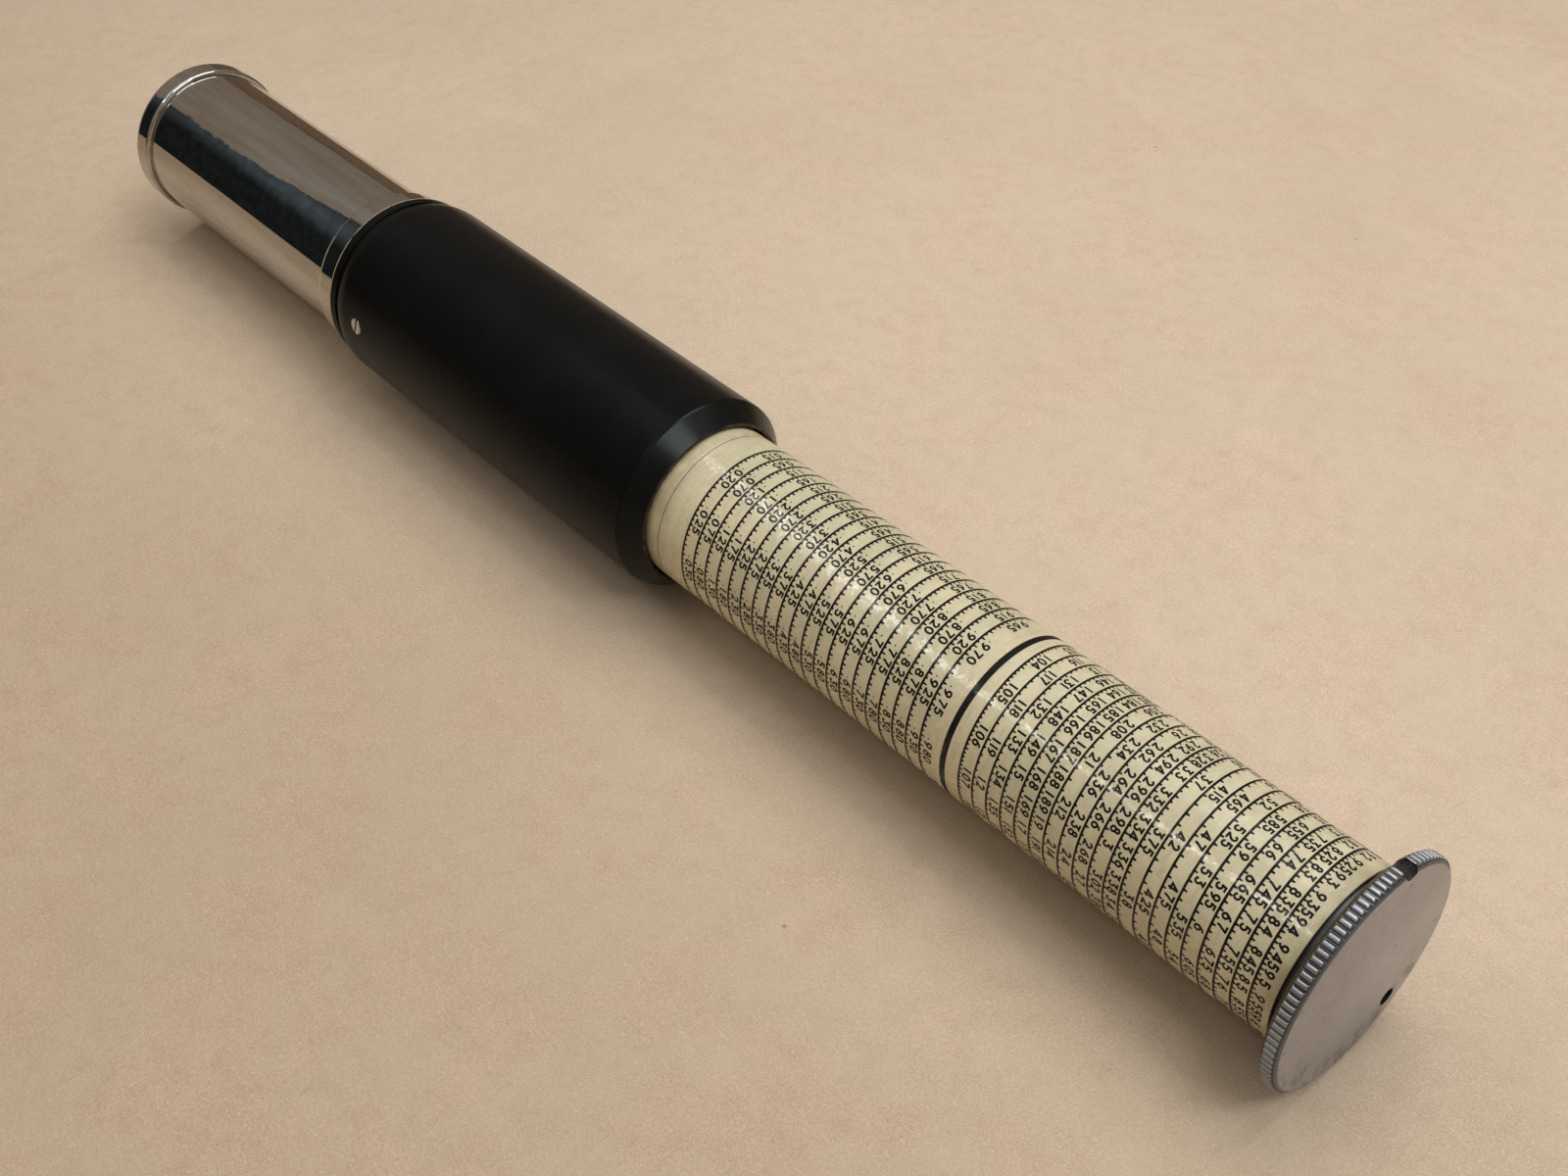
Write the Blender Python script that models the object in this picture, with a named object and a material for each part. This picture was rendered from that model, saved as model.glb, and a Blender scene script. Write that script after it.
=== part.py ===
# A cylindrical slide rule of the pocket kind: a bright tubular holder, a drawn-out cylinder with
# two printed spiral scales and a knurled cap, and a black tubular cursor that slides and turns
# over both. Every round piece is turned about one long axis, the part's X axis. The object lies
# on its side with the cap toward +X, and rests on the rim of the cap at Z = 0.
import math

import bmesh
import bpy
from mathutils import Matrix, Vector

MM = 0.001

# Fits
SEAT_GAP = 0.3 * MM        # between pieces that are fixed to each other
SLIDE_GAP = 0.25 * MM      # between pieces that slide or turn on each other
OVERRUN = 1.0 * MM         # how far a cutter runs past what it cuts
MERGE = 0.001 * MM         # points closer than this are one point

# Radii, from the axis outward
SCALE_RADIUS = 12.2 * MM   # face of the upper printed sleeve
SHEET_WALL = 0.35 * MM
CYLINDER_WALL = 0.55 * MM
STOP_STEP = 0.15 * MM      # how far the brake's rim stands outside the mouth's bore
BRAKE_GAP = 0.2 * MM       # the brake in the holder's bore
HOLDER_WALL = 0.35 * MM
LOWER_SHEET_WALL = 0.25 * MM
COLLAR_WALL = 0.5 * MM
END_CAP_WALL = 0.45 * MM
LINING_WALL = 0.4 * MM
BARREL_WALL = 0.77 * MM
NOSE_GAP = 0.35 * MM       # the cursor's nose over the upper printed sleeve
CAP_OVERHANG = 0.93 * MM   # how far the cap's ribs stand out past the cursor

# Lengths along the axis, from the holder's closed end
END_CAP_LENGTH = 4.3 * MM
END_CAP_FLOOR = 1.2 * MM
HANDLE_LENGTH = 58.8 * MM  # bare handle, from the end cap to the collar
COLLAR_LENGTH = 4.0 * MM
CURSOR_REST_GAP = 0.5 * MM # between the collar and the cursor when it is home
CURSOR_LENGTH = 80.2 * MM
NOSE_LENGTH = 3.2 * MM
NOSE_COVER = 4.0 * MM      # the nose reaches this far past the holder's mouth
MOUTH_FLANGE = 1.6 * MM
MOUTH_SKIRT = 4.0 * MM
SCALE_SHOWING = 109.4 * MM # printed sleeve that shows when the cylinder is drawn right out
NECK_LENGTH = 1.6 * MM     # bare tube between the printed sleeve and the cap
CAP_THICKNESS = 2.55 * MM

# Edges
EDGE = 0.25 * MM           # small turned chamfers
END_CAP_ROUND = 0.9 * MM
END_CAP_LIP = 0.2 * MM
BARREL_EDGE_LENGTH = 1.9 * MM
BARREL_EDGE_DEPTH = 0.57 * MM
NOSE_LIP = 0.4 * MM        # width of the nose's flat end
NOSE_LIP_LENGTH = 0.7 * MM
NOSE_WALL_START = 1.4 * MM # the nose's inner cone starts this far behind its outer one
BEAD_LENGTH = 1.8 * MM
BEAD_HEIGHT = 0.4 * MM     # the cursor's rear bead over its spigot
BEAD_EDGE = 0.35 * MM
GROOVE_LENGTH = 0.8 * MM    # turned groove between the bead and the barrel
GROOVE_LAND = 0.15 * MM    # its floor stands this far over the spigot
SPIGOT_LENGTH = 10.0 * MM

# Cap
KNURL_RIBS = 100
RIB_TOP_SHARE = 0.58       # part of each rib's pitch that its flat top takes
KNURL_DEPTH = 0.3 * MM
CAP_BACK_EDGE = 0.8 * MM   # radial size of the shoulder behind the ribs
CAP_BACK_LENGTH = 0.7 * MM
CAP_FRONT_EDGE = 0.7 * MM  # radial size of the bevel before the ribs
CAP_FRONT_LENGTH = 0.6 * MM
CAP_SPIGOT_LENGTH = 6.0 * MM
NOTCH_RADIUS = 1.33 * MM
NOTCH_ANGLE = 77.5         # degrees from +Y toward +Z
HOLE_RADIUS = 1.2 * MM
HOLE_DEPTH = 2.0 * MM
HOLE_PLACE = 12.6 * MM     # from the axis
HOLE_ANGLE = -53.4

# Brake inside the holder, which carries the cylinder's inner end
CORK_LENGTH = 8.0 * MM
WASHER_THICKNESS = 1.2 * MM
FLANGE_STEP = 0.2 * MM     # the spindle's flange is this much smaller than the cork
CORK_WALL = 4.35 * MM
JOURNAL_RADIUS = 2.5 * MM
SHOULDER_STEP = 1.5 * MM   # radial, from the journal up to the washer's seat
PLATE_THICKNESS = 2.0 * MM
NUT_WALL = 1.25 * MM       # at the nut's corners
NUT_THICKNESS = 2.0 * MM
THREAD_END = 0.6 * MM      # of the spindle, past its nut

# Cursor lining
LINING_LENGTH = 9.2 * MM
SPLIT_RING_LENGTH = 1.2 * MM
SPLIT_RING_OPENING = 4.0 * MM

# Cursor screw
SCREW_PLACE = 9.1 * MM     # from the cursor's rear end
SCREW_ANGLE = 172.0
SCREW_HEAD_RADIUS = 1.4 * MM
SCREW_HEAD_STANDS = 0.1 * MM
SCREW_SHANK_RADIUS = 0.6 * MM
SCREW_SHANK_REACH = 0.25 * MM  # into the spigot's wall
SLOT_WIDTH = 0.36 * MM
SLOT_DEPTH = 0.4 * MM
SLOT_TURN = -14.0

SIDES = 64
INNER_SIDES = 44
SMALL_SIDES = 24
NUT_SIDES = 6
ARC_STEPS = 4
SHARP_ANGLE = 30.0

# Radii that follow
sleeve_bore = SCALE_RADIUS - SHEET_WALL
cylinder_outer = sleeve_bore - SEAT_GAP
cylinder_bore = cylinder_outer - CYLINDER_WALL
mouth_bore = SCALE_RADIUS + SLIDE_GAP
brake_radius = mouth_bore + STOP_STEP
holder_bore = brake_radius + BRAKE_GAP
holder_outer = holder_bore + HOLDER_WALL
over_holder = holder_outer + SEAT_GAP
lower_scale_radius = over_holder + LOWER_SHEET_WALL
lining_bore = lower_scale_radius + SLIDE_GAP
lining_outer = lining_bore + LINING_WALL
barrel_bore = lining_outer + SLIDE_GAP
barrel_outer = barrel_bore + BARREL_WALL
ring_outer = barrel_bore - SEAT_GAP
nose_bore = SCALE_RADIUS + NOSE_GAP
rib_radius = barrel_outer + CAP_OVERHANG
flange_radius = brake_radius - FLANGE_STEP
hub_radius = brake_radius - CORK_WALL - SEAT_GAP
shoulder_radius = JOURNAL_RADIUS + SHOULDER_STEP
journal_bore = JOURNAL_RADIUS + SLIDE_GAP

# Stations along the axis that follow
handle_start = END_CAP_FLOOR + SEAT_GAP
collar_start = END_CAP_LENGTH + HANDLE_LENGTH
collar_end = collar_start + COLLAR_LENGTH
cursor_start = collar_end + CURSOR_REST_GAP
cursor_end = cursor_start + CURSOR_LENGTH
mouth_end = cursor_end - NOSE_COVER
mouth_back = mouth_end - MOUTH_FLANGE
holder_end = mouth_back - SEAT_GAP
sleeve_end = cursor_end + SCALE_SHOWING
cap_back = sleeve_end + NECK_LENGTH
cap_face = cap_back + CAP_THICKNESS
washer_front = mouth_back - SEAT_GAP
washer_back = washer_front - WASHER_THICKNESS
cork_front = washer_back - SEAT_GAP
cork_back = cork_front - CORK_LENGTH
flange_front = cork_back - SEAT_GAP
flange_back = flange_front - WASHER_THICKNESS


def on_axis_outline(points):
    """Turned outline in (along, radius) of a piece that is solid at its axis."""
    first, last = points[0], points[-1]
    return [(first[0], 0.0)] + points + [(last[0], 0.0)]


def ring_outline(length, inner, outer, rear_edge, front_edge):
    """Turned outline of a plain ring whose outer corners are chamfered."""
    return [(0.0, inner), (0.0, outer - rear_edge), (rear_edge, outer),
            (length - front_edge, outer), (length, outer - front_edge), (length, inner)]


def arc(along, radius, size, start, end):
    """Points of a rounded corner about (along, radius), angles in degrees from +X."""
    points = []
    for step in range(ARC_STEPS + 1):
        angle = math.radians(start + (end - start) * step / ARC_STEPS)
        points.append((along + size * math.cos(angle), radius + size * math.sin(angle)))
    return points


def clean(points):
    """Drops points that repeat the one before, such as a chamfer of no size."""
    kept = []
    for point in points:
        if not kept or math.dist(point, kept[-1]) > MERGE:
            kept.append(point)
    return kept


def look(name, colour, roughness, metallic):
    """Principled material with the piece's colour, roughness and metallic value."""
    material = bpy.data.materials.new(name)
    material.use_nodes = True
    shader = material.node_tree.nodes["Principled BSDF"]
    shader.inputs["Base Color"].default_value = (*colour, 1.0)
    shader.inputs["Roughness"].default_value = roughness
    shader.inputs["Metallic"].default_value = metallic
    material.diffuse_color = (*colour, 1.0)
    return material


def carrier(name, parent, along, height=0.0):
    """Empty on the long axis that a group of pieces is placed from."""
    empty = bpy.data.objects.new(name, None)
    empty.parent = parent
    empty.location = (along, 0.0, height)
    bpy.context.collection.objects.link(empty)
    return empty


def add_piece(name, bm, parent, location, material):
    """Turns an edited mesh into a named object under its carrier."""
    mesh = bpy.data.meshes.new(name)
    bm.to_mesh(mesh)
    bm.free()
    mesh.shade_smooth()
    mesh.set_sharp_from_angle(angle=math.radians(SHARP_ANGLE))
    if material is not None:
        mesh.materials.append(material)
    piece = bpy.data.objects.new(name, mesh)
    piece.parent = parent
    piece.location = location
    bpy.context.collection.objects.link(piece)
    return piece


def turned(name, outline, parent, along, material, sides=SIDES):
    """Revolves a closed outline of (along, radius) points about the X axis."""
    bm = bmesh.new()
    half_step = math.pi / sides
    profile = [bm.verts.new((x, radius * math.sin(half_step), radius * math.cos(half_step)))
               for x, radius in clean(outline)]
    edges = [bm.edges.new(pair) for pair in zip(profile, profile[1:] + profile[:1])
             if max(Vector(v.co.yz).length for v in pair) > MERGE]
    bmesh.ops.spin(bm, geom=profile + edges, cent=(0.0, 0.0, 0.0), axis=(1.0, 0.0, 0.0),
                   angle=2.0 * math.pi, steps=sides, use_merge=True, use_duplicate=False)
    bmesh.ops.remove_doubles(bm, verts=bm.verts, dist=MERGE)
    bmesh.ops.recalc_face_normals(bm, faces=bm.faces)
    return add_piece(name, bm, parent, (along, 0.0, 0.0), material)


def rod(name, radius, length, parent, location, sides=SMALL_SIDES, material=None):
    """Plain rod along X, centred on its origin."""
    bm = bmesh.new()
    lay_down = Matrix.Rotation(math.pi / 2.0, 4, "Y")
    bmesh.ops.create_cone(bm, cap_ends=True, segments=sides, radius1=radius, radius2=radius, depth=length,
                          matrix=lay_down)
    return add_piece(name, bm, parent, location, material)


def block(name, size, parent, location):
    """Plain block centred on its origin."""
    bm = bmesh.new()
    bmesh.ops.create_cube(bm, size=1.0)
    bmesh.ops.scale(bm, vec=size, verts=bm.verts)
    return add_piece(name, bm, parent, location, None)


def combine(piece, tool, operation):
    """Cuts or joins a hidden tool body with the Boolean modifier."""
    tool.hide_render = True
    tool.display_type = "WIRE"
    step = piece.modifiers.new(tool.name, "BOOLEAN")
    step.operation = operation
    step.solver = "EXACT"
    step.object = tool


def polar(radius, degrees):
    """Y and Z of a point at a radius and an angle about the axis."""
    angle = math.radians(degrees)
    return radius * math.cos(angle), radius * math.sin(angle)


def knurled_disc(name, parent, along, material):
    """Cap disc with straight ribs that run out through its shoulder and its bevel."""
    valley = rib_radius - KNURL_DEPTH
    back_edge = rib_radius - CAP_BACK_EDGE
    face_edge = rib_radius - CAP_FRONT_EDGE
    front_start = CAP_THICKNESS - CAP_FRONT_LENGTH
    back_run = CAP_BACK_LENGTH * (valley - back_edge) / CAP_BACK_EDGE
    front_run = front_start + CAP_FRONT_LENGTH * KNURL_DEPTH / CAP_FRONT_EDGE
    rings = [(0.0, back_edge, back_edge), (back_run, valley, valley),
             (CAP_BACK_LENGTH, rib_radius, valley), (front_start, rib_radius, valley),
             (front_run, valley, valley), (CAP_THICKNESS, face_edge, face_edge)]
    pitch = 2.0 * math.pi / KNURL_RIBS
    half_top = pitch * RIB_TOP_SHARE / 2.0
    bm = bmesh.new()
    loops = []
    for x, top, bottom in rings:
        loop = []
        for rib in range(KNURL_RIBS):
            middle = rib * pitch
            for angle, radius in ((middle - half_top, top), (middle + half_top, top),
                                  (middle + pitch / 2.0, bottom)):
                loop.append(bm.verts.new((x, radius * math.cos(angle), radius * math.sin(angle))))
        loops.append(loop)
    for rear, front in zip(loops, loops[1:]):
        for i in range(len(rear)):
            j = (i + 1) % len(rear)
            bm.faces.new((rear[i], rear[j], front[j], front[i]))
    bm.faces.new(loops[0])
    bm.faces.new(loops[-1])
    bmesh.ops.recalc_face_normals(bm, faces=bm.faces)
    return add_piece(name, bm, parent, (along, 0.0, 0.0), material)


for thing in list(bpy.data.objects):
    bpy.data.objects.remove(thing, do_unlink=True)

bright = (0.78, 0.76, 0.73)
black = (0.018, 0.018, 0.02)
paper = (0.55, 0.50, 0.33)
brass = (0.72, 0.55, 0.28)

# Carriers: each moving group hangs from an empty on the axis that it slides along and turns about
assembly = carrier("slide_rule", None, -cap_face / 2.0, rib_radius)
holder = carrier("holder_group", assembly, 0.0)
brake = carrier("brake_group", holder, flange_back)
cylinder = carrier("cylinder_group", brake, mouth_back - flange_back)
lining = carrier("lining_group", holder, cursor_start)
cursor = carrier("cursor_group", lining, 0.0)

# Holder: end cap, thin drawn tube, collar, lower printed sleeve and mouth ring
cap_radius = over_holder + END_CAP_WALL
turned("handle_end_cap",
       [(0.0, 0.0)]
       + arc(END_CAP_ROUND, cap_radius - END_CAP_ROUND, END_CAP_ROUND, 180.0, 90.0)
       + [(END_CAP_LENGTH - END_CAP_LIP, cap_radius), (END_CAP_LENGTH, cap_radius - END_CAP_LIP),
          (END_CAP_LENGTH, over_holder), (END_CAP_FLOOR, over_holder), (END_CAP_FLOOR, 0.0)],
       holder, 0.0, look("end_cap_nickel", bright, 0.12, 1.0))
turned("handle_tube",
       ring_outline(holder_end - handle_start, holder_bore, holder_outer, 0.0, 0.0),
       holder, handle_start, look("handle_nickel", bright, 0.1, 1.0))
turned("holder_collar",
       ring_outline(COLLAR_LENGTH, over_holder, over_holder + COLLAR_WALL, EDGE, EDGE),
       holder, collar_start, look("collar_nickel", bright, 0.12, 1.0))
lower_start = collar_end + SEAT_GAP
lower_end = mouth_back - MOUTH_SKIRT - SEAT_GAP
turned("lower_scale_sleeve",
       ring_outline(lower_end - lower_start, over_holder, lower_scale_radius, 0.0, 0.0),
       holder, lower_start, look("lower_scale_paper", paper, 0.45, 0.0))
turned("holder_mouth_ring",
       [(0.0, over_holder), (0.0, lower_scale_radius),
        (MOUTH_SKIRT + MOUTH_FLANGE - EDGE, lower_scale_radius),
        (MOUTH_SKIRT + MOUTH_FLANGE, lower_scale_radius - EDGE),
        (MOUTH_SKIRT + MOUTH_FLANGE, mouth_bore), (MOUTH_SKIRT, mouth_bore), (MOUTH_SKIRT, over_holder)],
       holder, mouth_back - MOUTH_SKIRT, look("mouth_ring_nickel", bright, 0.2, 1.0))

# Brake: a cork ring on a spool that drags in the holder's bore and stops at its mouth
hub_length = cork_front - flange_front
journal_start = washer_front - flange_back
nut_start = mouth_back + PLATE_THICKNESS + SEAT_GAP
spindle_end = nut_start + NUT_THICKNESS + THREAD_END - flange_back
turned("brake_spindle",
       on_axis_outline([(0.0, flange_radius - EDGE), (EDGE, flange_radius), (WASHER_THICKNESS, flange_radius),
                        (WASHER_THICKNESS, hub_radius), (WASHER_THICKNESS + hub_length, hub_radius),
                        (WASHER_THICKNESS + hub_length, shoulder_radius), (journal_start, shoulder_radius),
                        (journal_start, JOURNAL_RADIUS), (spindle_end - EDGE, JOURNAL_RADIUS),
                        (spindle_end, JOURNAL_RADIUS - EDGE)]),
       brake, 0.0, look("spindle_brass", brass, 0.3, 1.0), INNER_SIDES)
turned("brake_cork_ring",
       ring_outline(CORK_LENGTH, hub_radius + SEAT_GAP, brake_radius, EDGE, EDGE),
       brake, cork_back - flange_back, look("brake_cork", (0.45, 0.30, 0.17), 0.9, 0.0), INNER_SIDES)
turned("brake_stop_washer",
       ring_outline(WASHER_THICKNESS, shoulder_radius + SEAT_GAP, brake_radius, EDGE, 0.0),
       brake, washer_back - flange_back, look("washer_brass", brass, 0.3, 1.0), INNER_SIDES)
nut = rod("brake_spindle_nut", journal_bore + NUT_WALL, NUT_THICKNESS, brake,
          (nut_start + NUT_THICKNESS / 2.0 - flange_back, 0.0, 0.0), NUT_SIDES,
          look("nut_brass", brass, 0.35, 1.0))
combine(nut, rod("nut_bore_cutter", journal_bore, NUT_THICKNESS + OVERRUN, brake, nut.location),
        "DIFFERENCE")

# Cylinder: tube, upper printed sleeve, inner end plate and the knurled cap with its spigot
turned("cylinder_tube",
       ring_outline(cap_back - SEAT_GAP - mouth_back, cylinder_bore, cylinder_outer, 0.0, 0.0),
       cylinder, 0.0, look("cylinder_nickel", (0.34, 0.31, 0.30), 0.25, 1.0))
turned("upper_scale_sleeve",
       ring_outline(sleeve_end - mouth_back, sleeve_bore, SCALE_RADIUS, 0.0, 0.0),
       cylinder, 0.0, look("upper_scale_paper", paper, 0.4, 0.0))
turned("cylinder_end_plate",
       ring_outline(PLATE_THICKNESS, journal_bore, cylinder_bore - SEAT_GAP, 0.0, EDGE),
       cylinder, 0.0, look("plate_brass", brass, 0.3, 1.0), INNER_SIDES)
cap = knurled_disc("knurled_cap", cylinder, cap_back - mouth_back,
                   look("cap_nickel", (0.60, 0.56, 0.52), 0.3, 1.0))
spigot_overlap = CAP_THICKNESS / 2.0
combine(cap, rod("cap_spigot_join", cylinder_bore - SEAT_GAP, CAP_SPIGOT_LENGTH + spigot_overlap, cylinder,
                 cap.location + Vector(((spigot_overlap - CAP_SPIGOT_LENGTH) / 2.0, 0.0, 0.0)), INNER_SIDES),
        "UNION")
cap_middle = cap.location.x + CAP_THICKNESS / 2.0
combine(cap, rod("cap_notch_cutter", NOTCH_RADIUS, CAP_THICKNESS + OVERRUN, cylinder,
                 (cap_middle, *polar(rib_radius, NOTCH_ANGLE))), "DIFFERENCE")
hole_middle = cap.location.x + CAP_THICKNESS + (OVERRUN - HOLE_DEPTH) / 2.0
combine(cap, rod("cap_hole_cutter", HOLE_RADIUS, HOLE_DEPTH + OVERRUN, cylinder,
                 (hole_middle, *polar(HOLE_PLACE, HOLE_ANGLE))), "DIFFERENCE")

# Cursor lining: two felt rings that slide along the holder while the cursor turns on them
rear_lining_start = BEAD_LENGTH + SPIGOT_LENGTH + SLIDE_GAP
barrel_start = BEAD_LENGTH + GROOVE_LENGTH + SEAT_GAP
barrel_length = CURSOR_LENGTH - barrel_start
inner_cone_start = CURSOR_LENGTH - NOSE_LENGTH - NOSE_WALL_START
front_lining_start = inner_cone_start - SLIDE_GAP - LINING_LENGTH
felt = (0.05, 0.06, 0.05)
turned("cursor_rear_felt", ring_outline(LINING_LENGTH, lining_bore, lining_outer, 0.0, 0.0),
       lining, rear_lining_start, look("rear_felt", felt, 0.95, 0.0), INNER_SIDES)
turned("cursor_front_felt", ring_outline(LINING_LENGTH, lining_bore, lining_outer, 0.0, 0.0),
       lining, front_lining_start, look("front_felt", felt, 0.95, 0.0), INNER_SIDES)

# Cursor: barrel with its nose, rear ring with a bead, two split rings and one slotted screw
nose_break = barrel_length - NOSE_LENGTH
cone_start = inner_cone_start - barrel_start
barrel = turned("cursor_barrel",
                [(0.0, barrel_bore), (0.0, barrel_outer - BARREL_EDGE_DEPTH),
                 (BARREL_EDGE_LENGTH, barrel_outer), (nose_break, barrel_outer),
                 (barrel_length, nose_bore + NOSE_LIP), (barrel_length, nose_bore),
                 (barrel_length - NOSE_LIP_LENGTH, nose_bore), (cone_start, barrel_bore)],
                cursor, barrel_start, look("cursor_black", black, 0.38, 0.0))
bead_radius = ring_outer + BEAD_HEIGHT
groove_radius = ring_outer + GROOVE_LAND
groove_end = BEAD_LENGTH + GROOVE_LENGTH
rear_ring = turned("cursor_rear_ring",
                   [(0.0, lining_bore), (0.0, bead_radius - BEAD_EDGE), (BEAD_EDGE, bead_radius),
                    (BEAD_LENGTH - BEAD_EDGE, bead_radius), (BEAD_LENGTH, bead_radius - BEAD_EDGE),
                    (BEAD_LENGTH, groove_radius), (groove_end, groove_radius), (groove_end, ring_outer),
                    (BEAD_LENGTH + SPIGOT_LENGTH, ring_outer),
                    (BEAD_LENGTH + SPIGOT_LENGTH, lining_bore)],
                   cursor, 0.0, look("rear_ring_black", black, 0.35, 0.0))
opening = (SPLIT_RING_LENGTH + OVERRUN, SPLIT_RING_OPENING, OVERRUN + ring_outer)
for name, start in (("cursor_rear_split_ring", rear_lining_start + LINING_LENGTH + SLIDE_GAP),
                    ("cursor_front_split_ring", front_lining_start - SLIDE_GAP - SPLIT_RING_LENGTH)):
    split = turned(name, ring_outline(SPLIT_RING_LENGTH, lining_bore, ring_outer, 0.0, 0.0),
                   cursor, start, look(name + "_steel", (0.5, 0.5, 0.5), 0.35, 1.0), INNER_SIDES)
    place = (start + SPLIT_RING_LENGTH / 2.0, 0.0, -ring_outer)
    combine(split, block(name + "_cutter", opening, cursor, place), "DIFFERENCE")

# The screw stands on the spigot, through a hole in the barrel. Its seat's Y axis is the radius
# that it stands on.
screw_seat = carrier("screw_place", cursor, SCREW_PLACE)
screw_seat.rotation_euler.x = math.radians(SCREW_ANGLE)
shank_length = SCREW_SHANK_REACH + SEAT_GAP
screw_length = barrel_outer + SCREW_HEAD_STANDS - ring_outer + SCREW_SHANK_REACH


def stand_up(piece, distance):
    """Stands a piece made along X on the screw's radius, at a distance from the axis."""
    piece.rotation_euler.z = math.pi / 2.0
    piece.location = (0.0, distance, 0.0)
    return piece


screw = turned("cursor_screw",
               on_axis_outline([(0.0, SCREW_SHANK_RADIUS), (shank_length, SCREW_SHANK_RADIUS),
                                (shank_length, SCREW_HEAD_RADIUS), (screw_length - EDGE, SCREW_HEAD_RADIUS),
                                (screw_length, SCREW_HEAD_RADIUS - EDGE)]),
               screw_seat, 0.0, look("screw_steel", (0.62, 0.60, 0.56), 0.25, 1.0), SMALL_SIDES)
stand_up(screw, ring_outer - SCREW_SHANK_REACH)
slot = block("screw_slot_cutter", (SLOT_WIDTH, 2.0 * SLOT_DEPTH, 2.0 * SCREW_HEAD_RADIUS + OVERRUN),
             screw_seat, (0.0, barrel_outer + SCREW_HEAD_STANDS, 0.0))
slot.rotation_euler.y = math.radians(SLOT_TURN)
combine(screw, slot, "DIFFERENCE")
head_hole = rod("head_hole_cutter", SCREW_HEAD_RADIUS + SEAT_GAP, 2.0 * BARREL_WALL + OVERRUN,
                screw_seat, (0.0, 0.0, 0.0))
combine(barrel, stand_up(head_hole, barrel_outer), "DIFFERENCE")
shank_hole = rod("shank_hole_cutter", SCREW_SHANK_RADIUS + SLIDE_GAP, ring_outer - lining_bore + OVERRUN,
                 screw_seat, (0.0, 0.0, 0.0))
combine(rear_ring, stand_up(shank_hole, (ring_outer + lining_bore) / 2.0), "DIFFERENCE")
bpy.context.view_layer.update()
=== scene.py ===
import math
from collections import namedtuple

import bmesh
import bpy
from mathutils import Matrix, Vector

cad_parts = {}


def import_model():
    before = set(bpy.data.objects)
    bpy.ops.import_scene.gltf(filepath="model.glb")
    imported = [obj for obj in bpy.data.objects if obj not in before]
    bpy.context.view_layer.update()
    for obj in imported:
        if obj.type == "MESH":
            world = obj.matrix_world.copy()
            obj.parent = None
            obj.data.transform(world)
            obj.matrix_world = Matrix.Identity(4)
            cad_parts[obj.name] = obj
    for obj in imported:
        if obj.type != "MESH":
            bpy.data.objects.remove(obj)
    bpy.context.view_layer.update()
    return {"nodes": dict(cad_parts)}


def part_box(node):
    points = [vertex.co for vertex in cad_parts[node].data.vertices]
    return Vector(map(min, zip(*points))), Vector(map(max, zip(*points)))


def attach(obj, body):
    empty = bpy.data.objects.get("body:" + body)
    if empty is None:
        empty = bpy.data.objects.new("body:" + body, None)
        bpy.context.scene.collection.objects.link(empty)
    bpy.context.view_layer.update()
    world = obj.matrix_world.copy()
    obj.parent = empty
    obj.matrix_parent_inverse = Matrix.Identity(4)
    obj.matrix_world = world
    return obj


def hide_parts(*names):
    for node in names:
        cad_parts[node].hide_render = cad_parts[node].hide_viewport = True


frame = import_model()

nodes = frame["nodes"]

# A point is given by its distance along the axis from the handle's closed end and its distance from
# the axis, both in millimetres, and by its angle from +Y toward +Z in degrees
MM = 0.001
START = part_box("handle_end_cap")[0].x
AXIS = (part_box("handle_tube")[0].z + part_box("handle_tube")[1].z) / 2.0
SPAN = {name: ((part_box(name)[0].x - START) / MM, (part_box(name)[1].x - START) / MM) for name in nodes}

# Radii and bores, in millimetres
HANDLE_R, HANDLE_BORE = 13.15, 12.8
END_CAP_R, END_CAP_BORE, END_CAP_LIP = 13.9, 13.45, 13.17
COLLAR_R, COLLAR_BORE = 13.95, 13.19
LOWER_R, LOWER_BORE = (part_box("lower_scale_sleeve")[1].z - AXIS) / MM, 13.45
MOUTH_BORE = 12.45
NECK_R, NECK_BORE = 11.55, 11.0
UPPER_R, UPPER_BORE = 12.2, 11.85
BARREL_R, BARREL_BORE = 15.37, 14.6
BEAD_R, GROOVE_R, SPIGOT_R, LINING_R = 14.7, 14.45, 14.3, 13.95
CAP_R = 16.3

# Places and lengths along the axis, in millimetres
END_CAP_FLOOR = 1.2
FLANGE = 1.6
BEAD = 1.8
GROOVE = 0.8
NOSE = 3.2
BARREL_LINE = 75.27
CAP_BACK = 258.8

RIBS = 100
INK_LIFT = 0.012
SHARP_ANGLE = math.radians(38.0)
CAMERA = Vector((0.185307, -0.137046, 0.192946))


def point(along, radius, degrees):
    """A place in metres in the frame."""
    a = math.radians(degrees)
    return Vector((START + along * MM, radius * MM * math.cos(a), AXIS + radius * MM * math.sin(a)))


def shade(colour, factors):
    """A colour with each channel times its own factor."""
    return tuple(channel * factor for channel, factor in zip(colour, factors))


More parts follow.
